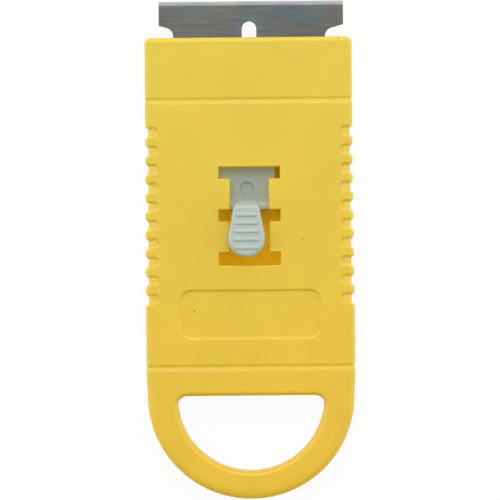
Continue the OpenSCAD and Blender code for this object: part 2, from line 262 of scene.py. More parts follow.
def edges_along(bm: BMesh, axis: int) -> list[BMEdge]:
    """Edges of a mesh that run along an axis, given by its number."""
    return [e for e in bm.edges if abs((e.verts[0].co - e.verts[1].co)[axis]) > LONG]


def move(bm: BMesh, vector: Triple) -> BMesh:
    """Moves a whole mesh, and returns it."""
    ops.translate(bm, verts=bm.verts[:], vec=vector)
    return bm


def soften(bm: BMesh, edges: Sequence[BMEdge], width: float, segments: int) -> None:
    """Rounds edges of a mesh by a width on each side, with so many faces across the round."""
    ops.bevel(
        bm, geom=list(edges), offset=width, offset_type="OFFSET", segments=segments, profile=0.5,
        affect="EDGES", clamp_overlap=True, material=-1,
    )


def put(name: str, data: bpy.types.ID) -> Thing:
    """Makes an object of a mesh, lamp or camera and links it into the scene."""
    thing = bpy.data.objects.new(name, data)
    bpy.context.scene.collection.objects.link(thing)
    return thing


def scratch_object(bm: BMesh, name: str) -> Thing:
    """Puts a mesh on a scratch object in the scene.

    Args:
        bm: mesh, which is used up.
        name: name of the object.

    Returns:
        The object, with one empty material slot for each skin.
    """
    mesh = bpy.data.meshes.new(name)
    for _ in Skin:
        mesh.materials.append(None)
    bm.to_mesh(mesh)
    bm.free()
    return put(name, mesh)


def combine(bm: BMesh, tool: BMesh, cut: Cut = Cut.REMOVE) -> BMesh:
    """Takes a tool's solid away from a piece or adds it.

    Args:
        bm: piece, which is used up.
        tool: tool, which is used up.
        cut: what is done with the tool.

    Returns:
        The new mesh of the piece.
    """
    base = scratch_object(bm, "scratch_base")
    other = scratch_object(tool, "scratch_tool")
    modifier = base.modifiers.new("cut", "BOOLEAN")
    modifier.operation = cut.value
    modifier.solver = "EXACT"
    modifier.material_mode = "INDEX"
    modifier.object = other
    solved = bpy.data.meshes.new_from_object(base.evaluated_get(bpy.context.evaluated_depsgraph_get()))
    result = bmesh.new()
    result.from_mesh(solved)
    # A scratch object goes with its mesh.
    for mesh in (base.data, other.data, solved):
        bpy.data.meshes.remove(mesh)
    ops.remove_doubles(result, verts=result.verts[:], dist=WELD)
    return result


def block(low: Triple, high: Triple) -> BMesh:
    """Box between two corners, as a new mesh."""
    size = Vector(high) - Vector(low)
    middle = (Vector(high) + Vector(low)) / 2
    bm = bmesh.new()
    ops.create_cube(bm, size=1.0, matrix=Matrix.Translation(middle) @ Matrix.Diagonal((*size, 1.0)))
    return bm


def merge_tools(tools: Sequence[BMesh]) -> BMesh:
    """Joins tools that don't touch into one mesh, and frees them."""
    bm = bmesh.new()
    for tool in tools:
        mesh = bpy.data.meshes.new("scratch_join")
        tool.to_mesh(mesh)
        tool.free()
        bm.from_mesh(mesh)
        bpy.data.meshes.remove(mesh)
    return bm


def finish_piece(bm: BMesh, name: str, materials: Sequence[Material], body: str, node: str,
                 sharp_degrees: float = 38.0) -> Thing:
    """Turns a mesh in millimetres into a finished piece.

    Args:
        bm: mesh, which is used up.
        name: name of the piece.
        materials: its materials, in the order of the mesh's slots.
        body: body that it rides on.
        node: node that it replaces.
        sharp_degrees: edges that turn more than this stay sharp.

    Returns:
        The piece's object.
    """
    ops.scale(bm, verts=bm.verts[:], vec=(MM, MM, MM))
    open_edges = sum(1 for edge in bm.edges if not edge.is_manifold)
    mesh = bpy.data.meshes.new(name)
    bm.to_mesh(mesh)
    bm.free()
    for material in materials:
        mesh.materials.append(material)
    mesh.shade_smooth()
    mesh.set_sharp_from_angle(angle=math.radians(sharp_degrees))
    piece = put(name, mesh)
    piece.modifiers.new("flat_faces", "WEIGHTED_NORMAL").keep_sharp = True
    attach(piece, body)
    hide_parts(node)
    mesh.calc_loop_triangles()
    LOG.info("%s: %d triangles, %d open edges", name, len(mesh.loop_triangles), open_edges)
    return piece


@dataclass(frozen=True)
class BodySizes:
    """Sizes of the yellow holder, in millimetres."""

    width: float = 44.0
    thickness: float = 8.0
    mouth_y: float = 44.7
    seam_z: float = 4.0
    seam_bevel: float = 0.1
    edge_r: float = 1.0
    mouth_r: float = 1.2
    mouth_turn: int = 10
    nose_inset: float = 0.17
    nose_d: float = 17.0
    full_d: float = 58.0
    end_d: float = 75.5
    end_inset: float = 0.2
    end_run: float = 5.0
    end_steps: int = 12
    dome_w: float = 2.6
    dome_steps: int = 5
    dome_drop: float = 0.4
    loop_d: float = 76.0
    loop_flat: float = 0.45
    loop_r: float = 15.6
    loop_corner_r: float = 2.1
    loop_edge_r: float = 0.95
    cavity_w: float = 41.0
    cavity_l: float = 51.18
    lip_l: float = 3.0
    front_cavity: float = 2.5
    rear_cavity: float = 2.4
    lip_height: float = 0.5
    rib_height: float = 0.4
    rib_w: float = 1.6
    rib_inset: float = 1.3
    wave_steps: int = 18
    rear_groove_d: float = 69.4
    front_groove_d: float = 13.13
    groove_depth: float = 0.175
    groove_half: float = 0.86
    groove_lean: float = 0.24
    grip_count: int = 10
    grip_first_d: float = 20.05
    grip_pitch: float = 3.91
    grip_half: float = 1.5
    grip_floor_half: float = 0.55
    grip_side_depth: float = 0.62
    grip_reach: float = 2.85
    grip_shallow: float = 0.02
    grip_fade: float = 0.2
    grip_shift: float = 0.12
    grip: Recess = Recess(5.1, 2.25, 0.9, depth=0.33, floor_r=0.11, lip_r=0.13, draft=0.3, steps=32)
    window_d: float = 27.36
    window_lip: float = 0.32
    window_draft: float = 0.12
    window_corner_r: float = 0.12
    slot_w: float = 8.24
    notch_count: int = 3
    notch_w: float = 12.95
    notch_l: float = 2.47
    notch_pitch: float = 9.0
    last_notch_extra: float = 0.26
    label_end_d: float = 63.55
    label: Recess = Recess(29.7, 10.3, 2.4, depth=0.4, floor_r=0.12, lip_r=0.22, draft=0.28, steps=48)

    @property
    def groove_places(self) -> Pair:
        """Places of the two grooves behind the mouth."""
        return self.front_groove_d, self.rear_groove_d

    @property
    def grip_places(self) -> list[float]:
        """Places of the grip notches behind the mouth."""
        return [self.grip_first_d + k * self.grip_pitch for k in range(self.grip_count)]

    def place(self, d: float) -> float:
        """Y of a place d behind the mouth."""
        return self.mouth_y - d


@dataclass
class HalfShell:
    """One moulded half of the holder, modelled face up between the seam and the face."""

    sizes: BodySizes
    outside: Material
    inside: Material
    name: str

    def section(self) -> BMesh:
        """Draws the outer outline of the section, from one side of the seam to the other."""
        s = self.sizes
        half, top, r = s.width / 2, s.thickness, s.edge_r
        flats = [half - r - (s.dome_w - r) * k / s.dome_steps for k in range(1, s.dome_steps + 1)]
        pen = Pen(Plane.FRONT, -half + s.seam_bevel, s.seam_z)
        pen.line(-half, s.seam_z + s.seam_bevel).line(-half, top - r)
        pen.arc(-half + r, top - r, -90, steps=7)
        for x in [-x for x in flats] + [0.0] + flats[::-1] + [half - r]:
            pen.line(x, top)
        pen.arc(half - r, top - r, -90, steps=7).line(half, s.seam_z + s.seam_bevel)
        return pen.line(half - s.seam_bevel, s.seam_z).bm

    def hollow(self, t: float, floor: float, half: float, depth: float) -> float:
        """Depth at a distance t from the middle of a soft hollow, whose floor is flat."""
        return depth * (1 - smooth(abs(t), floor, half))

    def insets(self, d: float) -> Pair:
        """How far the section is drawn in at a place.

        Args:
            d: distance behind the mouth.

        Returns:
            The amounts at each side and at the face.
        """
        s = self.sizes
        rounds = [r - math.sqrt(r * r - (r - d) ** 2) if d < r else 0.0 for r in (s.mouth_r, s.edge_r)]
        groove = sum(self.hollow(t, 0.0, s.groove_half + math.copysign(s.groove_lean, t), s.groove_depth)
                     for t in [d - g for g in s.groove_places])
        grip = sum(self.hollow(d - g, s.grip_floor_half, s.grip_half, s.grip_side_depth)
                   for g in s.grip_places)
        slim = s.nose_inset * (1 - smooth(d, s.nose_d, s.full_d))
        slim += s.end_inset * smooth(d, s.end_d - s.end_run, s.end_d)
        return rounds[0] + groove + grip + slim, rounds[1] + groove

    def stations(self) -> list[float]:
        """Distances behind the mouth at which the section changes."""
        s = self.sizes
        found = {s.mouth_r * (1 - math.cos(math.radians(turn))) for turn in range(0, 91, s.mouth_turn)}
        runs = [(g, s.groove_half + s.groove_lean, s.wave_steps) for g in s.groove_places]
        runs += [(g, s.grip_half, s.wave_steps) for g in s.grip_places]
        runs.append((s.end_d - s.end_run / 2, s.end_run / 2, s.end_steps))
        for middle, half, steps in runs:
            found |= {round(middle + half * (2 * k / steps - 1), 4) for k in range(steps + 1)}
        return sorted(found)

    def round_off_end(self, bm: BMesh) -> None:
        """Lets the face fall away softly towards the round end of the handle."""
        s = self.sizes
        reach = s.width / 2 - s.end_inset
        for vertex in bm.verts:
            ahead = vertex.co.y - s.place(s.end_d)
            out = math.hypot(vertex.co.x, min(ahead, 0.0))
            near_face = smooth(vertex.co.z, s.thickness - s.edge_r, s.thickness)
            fall = share(out, reach - s.dome_w, reach) ** 2 * near_face
            vertex.co.z -= s.dome_drop * fall * (1 - smooth(ahead, 0.0, s.end_run))

    def blank(self) -> BMesh:
        """Makes the solid half with its rounded edges, soft grooves and wavy sides."""
        s = self.sizes
        bm = self.section()
        verts, edges = bm.verts[:], bm.edges[:]
        move(bm, (0, s.mouth_y, 0))
        to_seam = Matrix.Translation((0, 0, -s.seam_z))
        reach, rise, last = s.width / 2, s.thickness - s.seam_z, 0.0
        across, up = 1.0, 1.0
        mouth = edges
        for number, d in enumerate(self.stations()):
            if number:
                grown = ops.extrude_edge_only(bm, edges=edges)["geom"]
                verts = vertices(grown)
                fresh = set(verts)
                edges = [e for e in grown if isinstance(e, BMEdge) and all(v in fresh for v in e.verts)]
            side, face = self.insets(d)
            wanted = (reach - side) / reach, (rise - face) / rise
            ops.scale(bm, verts=verts, vec=(wanted[0] / across, 1, wanted[1] / up), space=to_seam)
            ops.translate(bm, verts=verts, vec=(0, last - d, 0))
            (across, up), last = wanted, d
        ops.contextual_create(bm, geom=mouth)
        # The right half of the last section, swept half round, makes the round end.
        right = [e for e in edges if all(v.co.x > -FINE_WELD for v in e.verts)]
        swept = right + list(dict.fromkeys(v for e in right for v in e.verts))
        ops.spin(
            bm, geom=swept, cent=(0, s.place(s.end_d), 0), axis=(0, 0, 1), angle=-math.pi,
            steps=90, use_merge=False, use_duplicate=False,
        )
        ops.remove_doubles(bm, verts=bm.verts[:], dist=WELD)
        self.round_off_end(bm)
        ops.dissolve_degenerate(bm, edges=bm.edges[:], dist=FINE_WELD)
        ops.holes_fill(bm, edges=[e for e in bm.edges if e.is_boundary], sides=0)
        ops.recalc_face_normals(bm, faces=bm.faces[:])
        flat_edges = list(dict.fromkeys(e for f in bm.faces if abs(f.normal.z) > FLAT for e in f.edges))
        ops.dissolve_limit(bm, angle_limit=FLAT_TURN, edges=flat_edges, verts=[])
        return bm

    def loop_tool(self) -> BMesh:
        """Makes the tool that cuts the opening of the handle loop."""
        s = self.sizes
        reach = s.loop_r - s.loop_corner_r
        corner_y = s.loop_flat - s.loop_corner_r
        corner_x = math.sqrt(reach ** 2 - corner_y ** 2)
        dip = math.degrees(math.atan2(-corner_y, corner_x))
        pen = Pen(Plane.PLAN, corner_x, s.loop_flat)
        pen.line(-corner_x, s.loop_flat).arc(-corner_x, corner_y, 90 + dip, steps=10)
        pen.arc(0, 0, 180 - 2 * dip, steps=72).arc(corner_x, corner_y, 90 + dip, steps=10)
        return move(pen.solid((0, 0, s.thickness + 2 * OVER)), (0, s.place(s.loop_d), -OVER))

    def rim(self, bm: BMesh, height: float) -> list[BMEdge]:
        """Edges of the handle loop at a height."""
        s = self.sizes
        centre = Vector((0, s.place(s.loop_d), height))
        return [e for e in bm.edges if all(
            abs(v.co.z - height) < LEVEL and (v.co - centre).length < s.loop_r + NEAR for v in e.verts)
            and any(abs(f.normal.z) < UPRIGHT for f in e.link_faces)]

    def open_loop(self, bm: BMesh) -> BMesh:
        """Cuts the handle loop and rounds its rim, and returns the new mesh."""
        s = self.sizes
        bm = combine(bm, self.loop_tool())
        soften(bm, self.rim(bm, s.thickness), s.loop_edge_r, segments=6)
        soften(bm, self.rim(bm, s.seam_z), s.seam_bevel, segments=1)
        return bm

    def box(self, x0: float, x1: float, d0: float, d1: float, z0: float, z1: float) -> BMesh:
        """Box tool between places behind the mouth, which leaves the inside skin."""
        s = self.sizes
        tool = block((x0, s.place(d1), z0), (x1, s.place(d0), z1))
        for face in tool.faces:
            face.material_index = Skin.INSIDE.value
        return tool

    def open_cavity(self, bm: BMesh, depth: float) -> BMesh:
        """Cuts the cavity to one depth all over.

        Args:
            bm: mesh of the half, which is used up.
            depth: depth above the seam.

        Returns:
            The new mesh.
        """
        s = self.sizes
        wall = s.cavity_w / 2
        tool = self.box(-wall, wall, -OVER, s.cavity_l, s.seam_z - OVER, s.seam_z + depth)
        return combine(bm, tool)

    def grip_tool(self, d: float, side: int) -> BMesh:
        """Makes the tool of one grip pocket, deep towards the blade and shallow towards the handle.

        Args:
            d: distance of the pocket behind the mouth.
            side: -1 for the left side, 1 for the right.

        Returns:
            The tool's mesh.
        """
        s = self.sizes
        r = s.grip.length / 2
        tool = s.grip.plug()
        for vertex in tool.verts:
            if vertex.co.z < 0:
                deep = smooth(vertex.co.y, -r, -s.grip_fade * r)
                vertex.co.z *= s.grip_shallow + (1 - s.grip_shallow) * deep
        x = side * (s.width / 2 - s.grip_reach + s.grip.width / 2)
        return move(tool, (x, s.place(d - s.grip_shift), s.thickness))

    def press_grips(self, bm: BMesh) -> BMesh:
        """Presses the grip pockets into the face, and returns the new mesh."""
        tools = [self.grip_tool(d, side) for d in self.sizes.grip_places for side in (-1, 1)]
        return combine(bm, merge_tools(tools))

    def finish(self, bm: BMesh) -> Thing:
        """Makes the piece and dresses it."""
        return finish_piece(bm, self.name, [self.outside, self.inside], "housing",
                            self.name.removesuffix("_moulding"))


@dataclass
class FrontShell(HalfShell):
    """Front half, with the window and the blank label recess."""

    name: str = "front_shell_moulding"

    def open_front_cavity(self, bm: BMesh) -> BMesh:
        """Cuts the cavity behind the lip and leaves the two guide ribs, and returns the new mesh."""
        s = self.sizes
        bm = self.open_cavity(bm, s.rib_height)
        wall = s.cavity_w / 2
        outer = wall - s.rib_inset
        inner = outer - s.rib_w
        cuts = [(-wall, wall, -OVER, s.lip_l, s.lip_height)]
        for x0, x1 in ((-wall, -outer), (-inner, inner), (outer, wall)):
            cuts.append((x0, x1, s.lip_l, s.cavity_l, s.front_cavity))
        for *sides, height in cuts:
            bm = combine(bm, self.box(*sides, s.seam_z, s.seam_z + height))
        return bm

    def window_tool(self, width: float, d0: float, d1: float) -> BMesh:
        """Makes a tool for one opening of the window, which narrows towards the inside.

        Args:
            width: width of the opening.
            d0: where it starts behind the mouth.
            d1: where it ends behind the mouth.

        Returns:
            The tool's mesh.
        """
        s = self.sizes
        depth = s.thickness - s.seam_z - OVER
        half_x, half_y = width / 2, (d1 - d0) / 2
        tool = Recess(width, d1 - d0, s.window_corner_r, depth, floor_r=0, lip_r=s.window_lip, draft=0,
                      steps=16).plug()
        foot = [v for v in tool.verts if v.co.z < -depth / 2]
        ops.scale(tool, verts=foot, vec=(1 - s.window_draft / half_x, 1 - s.window_draft / half_y, 1))
        return move(tool, (0, s.place((d0 + d1) / 2), s.thickness))

    def cut_window(self, bm: BMesh) -> BMesh:
        """Cuts the slot and its pairs of notches, and returns the new mesh."""
        s = self.sizes
        last = s.notch_count - 1
        end = s.window_d + last * s.notch_pitch + s.notch_l + s.last_notch_extra
        cuts = [(s.slot_w, s.window_d, end)]
        for k in range(s.notch_count):
            start = s.window_d + k * s.notch_pitch
            cuts.append((s.notch_w, start, end if k == last else start + s.notch_l))
        for width, d0, d1 in cuts:
            bm = combine(bm, self.window_tool(width, d0, d1))
        return bm

    def press_label(self, bm: BMesh) -> BMesh:
        """Presses the blank label recess into the face, and returns the new mesh."""
        s = self.sizes
        place = (0, s.place(s.label_end_d - s.label.length / 2), s.thickness)
        return combine(bm, move(s.label.plug(), place))

    def build(self) -> Thing:
        """Builds the front half."""
        bm = self.open_loop(self.blank())
        bm = self.open_front_cavity(bm)
        bm = self.cut_window(bm)
        bm = self.press_label(bm)
        return self.finish(self.press_grips(bm))


@dataclass
class RearShell(HalfShell):
    """Rear half, with the flat back."""

    name: str = "rear_shell_moulding"

    def build(self) -> Thing:
        """Builds the rear half face up and turns it over."""
        s = self.sizes
        bm = self.open_loop(self.blank())
        bm = self.open_cavity(bm, s.rear_cavity)
        bm = self.press_grips(bm)
        ops.scale(bm, verts=bm.verts[:], vec=(1, 1, -1))
        move(bm, (0, 0, s.thickness))
        ops.reverse_faces(bm, faces=bm.faces[:])
        return self.finish(bm)


@dataclass
class Latch:
    """Grey tongue with its locking bar, round mark and ridged thumb tab."""

    sizes: BodySizes
    finish: Material
    x: float = -0.5
    tongue_w: float = 11.71
    tongue_z: float = 4.45
    tongue_t: float = 1.0
    hinge_d: float = 12.15
    barrel_r: float = 0.75
    bar_d: float = 34.22
    bar_end_d: float = 36.36
    bar_h: float = 0.95
    bar_slope: float = 0.7
    bar_lean: float = 0.1
    bar_rear_r: float = 0.22
    bar_crest_r: float = 0.6
    bar_foot_r: float = 0.3
    mark_d: float = 31.93
    mark: Recess = Recess(2.95, 2.95, 1.475, depth=0.46, floor_r=0.12, lip_r=0.1, draft=0.06, steps=40)
    web_d: float = 34.0
    web_end_d: float = 36.19
    web_w: float = 4.7
    web_foot_w: float = 4.1
    web_r: float = 0.3
    web_into_tab: float = 0.4
    web_behind_tab: float = 0.05
    tab_x: float = -0.66
    tab_front_d: float = 35.35
    tab_z: float = 9.5
    tab_face: float = 10.45
    tab_end_d: float = 46.34
    tab_w: float = 7.8
    tab_neck_w: float = 5.3
    tab_corner_r: float = 0.7
    tab_face_r: float = 0.75
    tab_under_r: float = 0.15
    rim: float = 0.75
    ridge_half: float = 2.75
    ridge_h: float = 0.26
    ridge_w: float = 0.95
    ridge_pitch: float = 1.73
    ridge_to_end: float = 2.0
    ridge_count: int = 5
    nub_d: float = 41.6
    nub_r: float = 0.3
    nub_sink: float = 0.1
    nub_rise: float = 0.5

    @property
    def round_d(self) -> float:
        """Middle of the tab's round end, behind the mouth."""
        return self.tab_end_d - self.tab_w / 2

    def tab_half(self, d: float) -> float:
        """Half of the tab's width at a place behind the mouth."""
        r = self.tab_w / 2
        if d > self.round_d:
            return math.sqrt(r * r - (d - self.round_d) ** 2)
        return r + (self.tab_neck_w / 2 - r) * share(self.round_d - d, 0.0, self.round_d - self.tab_front_d)

    def edges_across(self, bm: BMesh, d: float, z: float) -> list[BMEdge]:
        """Edges that run across the tongue at a place and a height."""
        y = self.sizes.place(d)
        return [e for e in edges_along(bm, 0)
                if abs(e.verts[0].co.z - z) < NEAR and abs(e.verts[0].co.y - y) < NEAR]

    def tongue(self) -> BMesh:
        """Makes the tongue and its locking bar, with the hinge barrel in front."""
        at = self.sizes.place
        low, top = self.tongue_z, self.tongue_z + self.tongue_t
        crest = top + self.bar_h
        crest_d, crest_end_d = self.bar_d + self.bar_slope, self.bar_end_d - self.bar_lean
        pen = Pen(Plane.SIDE, at(self.hinge_d), low)
        pen.line(at(self.bar_end_d), low).line(at(self.bar_end_d), top)
        pen.line(at(crest_end_d), crest).line(at(crest_d), crest)
        pen.line(at(self.bar_d), top).line(at(self.hinge_d), top)
        bm = move(pen.solid((self.tongue_w, 0, 0)), (self.x - self.tongue_w / 2, 0, 0))
        soften(bm, self.edges_across(bm, crest_end_d, crest), self.bar_rear_r, segments=4)
        soften(bm, self.edges_across(bm, crest_d, crest), self.bar_crest_r, segments=6)
        soften(bm, self.edges_across(bm, self.bar_d, top), self.bar_foot_r, segments=4)
        barrel = bmesh.new()
        hinge = Matrix.Translation((self.x, at(self.hinge_d), low + self.tongue_t / 2))
        ops.create_cone(
            barrel, cap_ends=True, segments=32, radius1=self.barrel_r, radius2=self.barrel_r,
            depth=self.tongue_w, matrix=hinge @ Matrix.Rotation(math.pi / 2, 4, "Y"),
        )
        bm = combine(bm, barrel, Cut.ADD)
        return combine(bm, move(self.mark.plug(), (self.x, at(self.mark_d), top)))

    def web(self) -> BMesh:
        """Makes the leaning web that carries the tab."""
        at = self.sizes.place
        low, high = self.tongue_z + self.tongue_t / 2, self.tab_z + self.web_into_tab
        half = self.web_w / 2
        bm = block((self.x - half, at(self.web_end_d), low), (self.x + half, at(self.web_d), high))
        soften(bm, edges_along(bm, 2), self.web_r, segments=4)
        for vertex in bm.verts:
            if vertex.co.z > high - LEVEL:
                lean = share(vertex.co.y, at(self.web_end_d), at(self.web_d))
                vertex.co.y -= lean * (self.tab_front_d + self.web_behind_tab - self.web_d)
            else:
                vertex.co.x = self.x + (vertex.co.x - self.x) * self.web_foot_w / self.web_w
        return bm

    def tab(self) -> BMesh:
        """Makes the thumb tab with its rounded edges."""
        at = self.sizes.place
        r = self.tab_w / 2
        neck = Vector((self.tab_neck_w / 2, self.round_d - self.tab_front_d))
        turn = math.degrees(math.atan2(neck.y, neck.x) - math.acos(r / neck.length))
        touch = math.radians(180 - turn)
        pen = Pen(Plane.PLAN, -neck.x, neck.y)
        pen.line(r * math.cos(touch), r * math.sin(touch)).arc(0, 0, 180 + 2 * turn, steps=48)
        pen.line(neck.x, neck.y)
        bm = pen.solid((0, 0, self.tab_face - self.tab_z))
        move(bm, (self.tab_x, at(self.round_d), self.tab_z))
        corners = [e for e in edges_along(bm, 2) if e.verts[0].co.y > at(self.tab_front_d) - NEAR]
        soften(bm, corners, self.tab_corner_r, segments=6)
        for height, width in ((self.tab_face, self.tab_face_r), (self.tab_z, self.tab_under_r)):
            ring = [e for e in bm.edges if all(abs(v.co.z - height) < LEVEL for v in e.verts)]
            soften(bm, ring, width, segments=5)
        return bm

    def ridge(self, number: int) -> BMesh:
        """Makes one rounded ridge of the tab, counted from its end."""
        d = self.tab_end_d - self.ridge_to_end - number * self.ridge_pitch
        half = min(self.tab_half(d) - self.rim, self.ridge_half)
        cap = self.ridge_w / 2
        around = 24
        half_step = Matrix.Rotation(math.pi / around, 4, "Z")
        bm = bmesh.new()
        ops.create_uvsphere(bm, u_segments=around, v_segments=16, radius=1.0, matrix=half_step)
        ops.scale(bm, verts=bm.verts[:], vec=(cap, cap, self.ridge_h))
        for vertex in bm.verts:
            if abs(vertex.co.x) > FINE_WELD:
                vertex.co.x += math.copysign(half - cap, vertex.co.x)
        return move(bm, (self.tab_x, self.sizes.place(d), self.tab_face))

    def nub(self) -> BMesh:
        """Makes the small moulding nub on the tab's edge."""
        x = self.tab_x + self.tab_half(self.nub_d) - self.nub_sink
        bm = bmesh.new()
        ops.create_uvsphere(
            bm, u_segments=16, v_segments=12, radius=self.nub_r,
            matrix=Matrix.Translation((x, self.sizes.place(self.nub_d), self.tab_z + self.nub_rise)),
        )
        return bm

    def build(self) -> Thing:
        """Builds the latch as one moulding."""
        bm = self.tongue()
        ridges = merge_tools([self.ridge(k) for k in range(self.ridge_count)])
        for part in (self.web(), self.tab(), ridges, self.nub()):
            bm = combine(bm, part, Cut.ADD)
        return finish_piece(bm, "latch_moulding", [self.finish], "latch", "latch")


@dataclass
class Blade:
    """Single-edge blade with a ground edge, sloped shoulders and a notch."""

    finish: Material
    x: float = 0.25
    strip_offset: float = 0.41
    edge_y: float = 52.6
    width: float = 39.1
    height: float = 18.2
    low_z: float = 2.65
    thickness: float = 0.25
    edge_t: float = 0.02
    bevel_l: float = 0.85
    tang_w: float = 32.2
    shoulder_y: float = 5.05
    shoulder_slope: float = 16.0
    shoulder_r: float = 1.85
    notch_w: float = 3.06
    notch_y: float = 4.3

    def foot(self, corner: float) -> float:
        """Y at which a shoulder's round meets the tang, for a corner that far from the middle."""
        slope, r = math.radians(self.shoulder_slope), self.shoulder_r
        run = corner - self.tang_w / 2 - r + r * math.sin(slope)
        return -(self.shoulder_y + run * math.tan(slope) + r * math.cos(slope))

    def outline(self) -> BMesh:
        """Makes the flat strip with its shoulders and notch, its edge at Y = 0."""
        left, right = self.strip_offset - self.width / 2, self.strip_offset + self.width / 2
        left_foot, right_foot = self.foot(-left), self.foot(right)
        tang, r, n = self.tang_w / 2, self.shoulder_r, self.notch_w / 2
        slope = math.radians(self.shoulder_slope)
        sweep = self.shoulder_slope - 90
        pen = Pen(Plane.PLAN, left, 0).line(left, -self.shoulder_y)
        pen.line(-tang - r + r * math.sin(slope), left_foot + r * math.cos(slope))
        pen.arc(-tang - r, left_foot, sweep, steps=14)
        pen.line(-tang, -self.height).line(-n, -self.height).line(-n, -self.notch_y - n)
        pen.arc(0, -self.notch_y - n, -180, steps=24).line(n, -self.height).line(tang, -self.height)
        pen.line(tang, right_foot).arc(tang + r, right_foot, sweep, steps=14)
        return pen.line(right, -self.shoulder_y).line(right, 0).solid((0, 0, self.thickness))

    def build(self) -> Thing:
        """Builds the blade and grinds its edge."""
        bm = self.outline()
        ops.bisect_plane(
            bm, geom=bm.verts[:] + bm.edges[:] + bm.faces[:], dist=FINE_WELD,
            plane_co=(0, -self.bevel_l, 0), plane_no=(0, 1, 0),
        )
        front = [v for v in bm.verts if v.co.y > -WELD]
        middle = Matrix.Translation((0, 0, -self.thickness / 2))
        ops.scale(bm, verts=front, vec=(1, 1, self.edge_t / self.thickness), space=middle)
        move(bm, (self.x, self.edge_y, self.low_z))
        return finish_piece(bm, "steel_blade", [self.finish], "slider", "blade",
                            sharp_degrees=8)


class NodeSketch:
    """Adds nodes to a tree and links them."""

    def __init__(self, tree: bpy.types.NodeTree) -> None:
        """Takes the tree to draw in, and empties it."""
        self.tree = tree
        tree.nodes.clear()

    def add(self, kind: str, inputs: dict | None = None, **settings: object) -> bpy.types.Node:
        """Adds a node.

        Args:
            kind: type of the node, without ShaderNode in front.
            inputs: values or output sockets, by the name or number of the input.
            settings: properties of the node.

        Returns:
            The node.
        """
        node = self.tree.nodes.new(kind if kind.startswith("NodeGroup") else "ShaderNode" + kind)
        for key, value in settings.items():
            setattr(node, key, value)
        for key, value in (inputs or {}).items():
            if isinstance(value, Socket):
                self.tree.links.new(value, node.inputs[key])
            else:
                node.inputs[key].default_value = value
        return node

    def ramp(self, value: Socket, low: float, high: float, to_low: float = 0.0,
             to_high: float = 1.0) -> Socket:
        """Smoothly maps a range of values to another range, and returns the output."""
        node = self.add("MapRange", {0: value, 1: low, 2: high, 3: to_low, 4: to_high},
                        interpolation_type="SMOOTHSTEP")
        return node.outputs[0]

    def maths(self, operation: str, *values: object) -> Socket:
        """Adds a maths node, and returns its output."""
        return self.add("Math", dict(enumerate(values)), operation=operation).outputs[0]

    def mix(self, amount: Socket, first: object, second: object) -> Socket:
        """Mixes two colours, and returns the output."""
        return self.add("Mix", {0: amount, 6: first, 7: second}, data_type="RGBA").outputs[2]

    def scaled(self, colour: Socket, factor: Socket) -> Socket:
        """Makes a colour lighter or darker, and returns the output."""
        return self.add("VectorMath", {0: colour, "Scale": factor}, operation="SCALE").outputs[0]

    def noise(self, space: Socket, scale: object, detail: float) -> Socket:
        """Adds cloudy noise, and returns its output."""
        return self.add("TexNoise", {"Vector": space, "Scale": scale, "Detail": detail}).outputs[0]

    def own_space(self) -> Socket:
        """Coordinates of the object that the tree is drawn on."""
        return self.add("TexCoord").outputs["Object"]


def new_material(name: str) -> tuple[Material, NodeSketch]:
    """Makes an empty material, and returns it with a sketch of its nodes."""
    material = bpy.data.materials.new(name)
    material.use_nodes = True
    return material, NodeSketch(material.node_tree)


@dataclass(frozen=True)
class MouldedGrain:
    """Effect that both plastics share: cloudy tone, fine grain, specks and a satin sheen."""

    cloud_size: float = 90.0
    cloud_detail: float = 3.0
    cloud_ramp: Pair = (0.25, 0.75)
    cloud_roughness: Quad = (0.3, 0.7, 0.44, 0.54)
    grain_size: float = 2600.0
    grain_detail: float = 4.0
    grain_roughness: Quad = (0.3, 0.7, -0.04, 0.04)
    speck_size: float = 260.0
    speck_least: float = 0.93
    speck_edge: Quad = (0.02, 0.09, 1.0, 0.0)

    def make(self) -> bpy.types.NodeTree:
        """Makes the group of nodes."""
        tree = bpy.data.node_groups.new("moulded_grain", "ShaderNodeTree")
        face = tree.interface
        for name, value in (("Cloud Size", self.cloud_size), ("Grain Size", self.grain_size),
                            ("Speck Size", self.speck_size)):
            face.new_socket(name, in_out="INPUT", socket_type="NodeSocketFloat").default_value = value
        for name in ("Cloud", "Speck", "Roughness", "Height"):
            face.new_socket(name, in_out="OUTPUT", socket_type="NodeSocketFloat")
        draw = NodeSketch(tree)
        given = draw.add("NodeGroupInput").outputs
        space = draw.own_space()
        cloud = draw.noise(space, given["Cloud Size"], self.cloud_detail)
        grain = draw.noise(space, given["Grain Size"], self.grain_detail)
        cell = draw.add("TexVoronoi", {"Vector": space, "Scale": given["Speck Size"]})
        chance = draw.add("SeparateColor", {0: cell.outputs["Color"]}).outputs[0]
        rare = draw.maths("GREATER_THAN", chance, self.speck_least)
        spot = draw.ramp(cell.outputs["Distance"], *self.speck_edge)
        sheen = draw.maths("ADD", draw.ramp(grain, *self.grain_roughness),
                           draw.ramp(cloud, *self.cloud_roughness))
        draw.add("NodeGroupOutput", {
            "Cloud": draw.ramp(cloud, *self.cloud_ramp), "Speck": draw.maths("MULTIPLY", rare, spot),
            "Roughness": sheen, "Height": grain,
        })
        return tree


